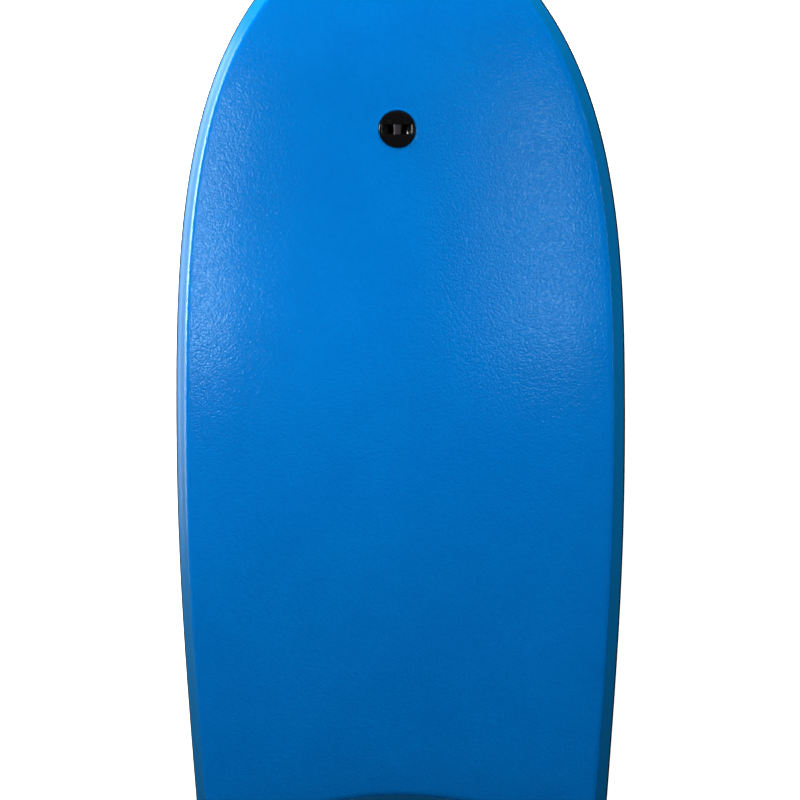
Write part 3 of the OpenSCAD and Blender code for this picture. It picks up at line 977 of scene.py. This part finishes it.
def capPlastic():
    f = Finish("capPlastic")
    dark, light, rough, high = insideLook["cap"]
    grain = f.noise(0.0009, 3.0, 0.6)
    flow = f.noise(0.006, 2.0)
    color = f.mix(flow * 0.6 + grain * 0.3, dark, light)
    return f.surface(baseColor=color, roughness=rough + grain * 0.15, normal=f.bump(grain, high))


def meshNet():
    f = Finish("polymerNet")
    thread, behind, rough, high = insideLook["net"]
    holes = []
    for axis in ("X", "Y"):
        line = f.add("ShaderNodeSeparateXYZ", {}, {0: f.place}, axis)
        holes.append(f.steps(line.math("PINGPONG", line, insideLook["netPitch"]), *insideLook["netEdge"]))
    opening = holes[0] * holes[1]
    return f.surface(baseColor=f.mix(opening, thread, behind), roughness=rough + opening * 0.2,
                     normal=f.bump(1 - opening, high))


def coat(piece, finish):
    piece.data.materials.clear()
    piece.data.materials.append(finish)


# gives a piece its finish and its body, and hides the nodes that it stands for
def finishPiece(piece, finish, slot, *nodes):
    coat(piece, finish)
    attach(piece, "root")
    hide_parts(*nodes)


finishPiece(makeDeck().build("deckSkin"), deckFoam(), "deck_foam", "deck_skin")
print("deck skin made")

blueRail = railFoam()
blackRail = darkFoam("sealedBlackFoam", *darkLook["rail"])
# name, its CAD node's name, and the stretch of the outline that it follows
sides = (
    ("RailRight", "rail_right", cornerTurn, shoulderTurn),
    ("RailLeft", "rail_left", loopLength - shoulderTurn, loopLength - cornerTurn),
    ("RailNose", "nose", shoulderTurn, loopLength - shoulderTurn),
    ("RailTail", "tail", -cornerTurn, cornerTurn),
)
for level, section, finish in (("upper", upperSection, blueRail), ("lower", lowerSection, blackRail)):
    for name, node, first, last in sides:
        rail = strip(section, first, last).build(level + name, 50)
        cadNode = f"{node}_{level}_rail" if node in ("nose", "tail") else f"{level}_{node}"
        finishPiece(rail, finish, level + "_rail_foam", cadNode)
print("rails made")

finishPiece(makeSlick().build("slickSkin", 50), slickPlastic(), "slick", "slick_skin")
backingFoam = darkFoam("backingFoam", *darkLook["backing"])
finishPiece(makeBacking().build("slickBacking", 50), backingFoam, "backing_foam", "slick_backing")
print("underside made")

plugBlack = plugPlastic()
finishPiece(makePlugDeck(), plugBlack, "plug_plastic", "leash_plug_deck")
finishPiece(makePlugSlick(), plugBlack, "plug_plastic", "leash_plug_slick")
finishPiece(makeBar(), barPlastic(), "bar_plastic", "leash_bar")
print("leash plug made")

rubber = washerRubber()
caps = capPlastic()
carried = {
    "deck_washer": rubber,
    "slick_washer": rubber,
    "foam_core": beadFoam(),
    "stringer_tube": tubeFibre(),
    "stringer_cap_front": caps,
    "stringer_cap_rear": caps,
    "reinforcement_mesh": meshNet(),
}
for node, finish in carried.items():
    coat(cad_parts[node], finish)
print("carried-over nodes finished")

studio = {
    "floorSize": 12.0,
    "floorDrop": 0.0005,  # below the board
    "floorColor": (0.9, 0.9, 0.9, 1),
    "floorGlow": 1.0,
    "backdropGlow": 0.93,
    "domeShare": 1.4,  # the backdrop dome's radius, as a share of half the floor
    "domeFoot": 0.1,  # below the board, and its middle twice as far
    "domeTurns": 48,
    "world": 0.01,
    # name: place, width and height, aimed at, power in watts, and the shading that it takes part in
    "lights": {
        "noseLow": ((0.0, 1.45, 0.5), (0.5, 0.5), (0, 0.1, 0.05), 9.0, "diffuse"),
        "noseHigh": ((-0.3, 1.25, 1.0), (0.5, 0.5), (0, 0.1, 0.05), 23.0, "diffuse"),
        "noseLeft": ((-0.5, 1.4, 0.3), (0.5, 0.5), (0, 0.1, 0.05), 13.0, "diffuse"),
        "leftBox": ((-1.2, 0.6, 0.4), (0.4, 0.4), (0, 0.1, 0.05), 14.0, "diffuse"),
        "rightLow": ((1.2, 0.2, 0.4), (0.4, 0.4), (0, 0.1, 0.05), 6.5, "diffuse"),
        "tailLow": ((0.0, -1.3, 0.15), (0.6, 0.3), (0, -0.4, 0.03), 2.5, "diffuse"),
        "leftLine": ((-1.2, 0.25, 0.32), (0.3, 0.64), (0, 0.1, 0.05), 15.0, "glossy"),
        "leftCard": ((-1.0, 0.25, -0.15), (0.9, 0.3), (-0.2, 0.1, 0.03), 6.0, "glossy"),
        "leftSheen": ((-0.327, 0.11, 0.55), (0.08, 0.08), (-0.23, 0.12, 0.05), 0.19, "both"),
        "rightSheen": ((0.168, 0.11, 0.55), (0.07, 0.07), (0.168, 0.12, 0.05), 0.075, "both"),
    },
}


def makeFloor():
    half = studio["floorSize"] / 2
    corners = ((-half, -half), (half, -half), (half, half), (-half, half))
    shell = Shell()
    shell.faces.append(shell.ring([Vector((x, y, -studio["floorDrop"])) for x, y in corners]))
    floor = shell.build("floor")
    f = Finish("paleFloor")
    grain = f.noise(0.4, 2.0)
    shader = f.add("ShaderNodeBsdfPrincipled", {}, {
        "Base Color": studio["floorColor"], "Roughness": 0.7 + grain * 0.1, "Specular IOR Level": 0.1,
        "Emission Color": (1, 1, 1, 1), "Emission Strength": studio["floorGlow"]})
    f.close(shader)
    floor.data.materials.append(f.material)
    dome = Shell()
    radius = half * studio["domeShare"]
    foot = studio["domeFoot"]
    rings = [(radius * cos(radians(a)), radius * sin(radians(a)) - foot) for a in range(0, 90, 10)]
    dome.lathe([(0, -2 * foot)] + rings + [(0, radius)], studio["domeTurns"])
    backdrop = dome.build("backdrop", 90)
    f = Finish("paleBackdrop")
    haze = f.noise(3.0, 2.0)
    white = f.mix(haze, (studio["backdropGlow"],) * 3 + (1,), (1, 1, 1, 1))
    f.close(f.add("ShaderNodeEmission", {}, {"Color": white, "Strength": 1.0}))
    backdrop.data.materials.append(f.material)
    for staged in (floor, backdrop):  # seen, but the board isn't lit by them
        staged.visible_diffuse = False
        staged.visible_glossy = False
        staged.visible_shadow = False


def makeLights():
    for name, (spotAt, size, aim, power, shading) in studio["lights"].items():
        lamp = bpy.data.lights.new(name, "AREA")
        lamp.shape = "RECTANGLE"
        lamp.size, lamp.size_y = size
        lamp.energy = power
        made = makeObject(name, lamp)
        made.location = spotAt
        made.visible_camera = False
        made.visible_diffuse = shading != "glossy"
        made.visible_glossy = shading != "diffuse"
        made.rotation_euler = (Vector(aim) - Vector(spotAt)).to_track_quat("-Z", "Y").to_euler()


def makeWorld():
    world = bpy.data.worlds.new("studio")
    bpy.context.scene.world = world
    world.use_nodes = True
    world.node_tree.nodes["Background"].inputs["Color"].default_value = (1, 1, 1, 1)
    world.node_tree.nodes["Background"].inputs["Strength"].default_value = studio["world"]


camera = {
    "away": 4.50,
    "leanRight": 2.9,  # degrees off the vertical towards +X
    "leanNose": 1.0,
    "roll": -0.16,
    "aim": (0.0013, 0.0013, 0.052),
    "view": 0.874,  # width seen at the deck
    "sensor": 36.0,
}


def makeCamera():
    data = bpy.data.cameras.new("camera")
    data.sensor_width = camera["sensor"]
    data.lens = camera["sensor"] * camera["away"] / camera["view"]
    data.clip_start, data.clip_end = 0.05, 50
    made = makeObject("camera", data)
    turn = Matrix.Rotation(radians(camera["leanRight"]), 4, "Y")
    turn = turn @ Matrix.Rotation(-radians(camera["leanNose"]), 4, "X")
    turn = turn @ Matrix.Rotation(radians(camera["roll"]), 4, "Z")
    back = Matrix.Translation((0, 0, camera["away"]))
    made.matrix_world = Matrix.Translation(camera["aim"]) @ turn @ back
    bpy.context.scene.camera = made


makeFloor()
makeLights()
makeWorld()
makeCamera()
bpy.context.scene.view_settings.view_transform = "Standard"
print("studio made")
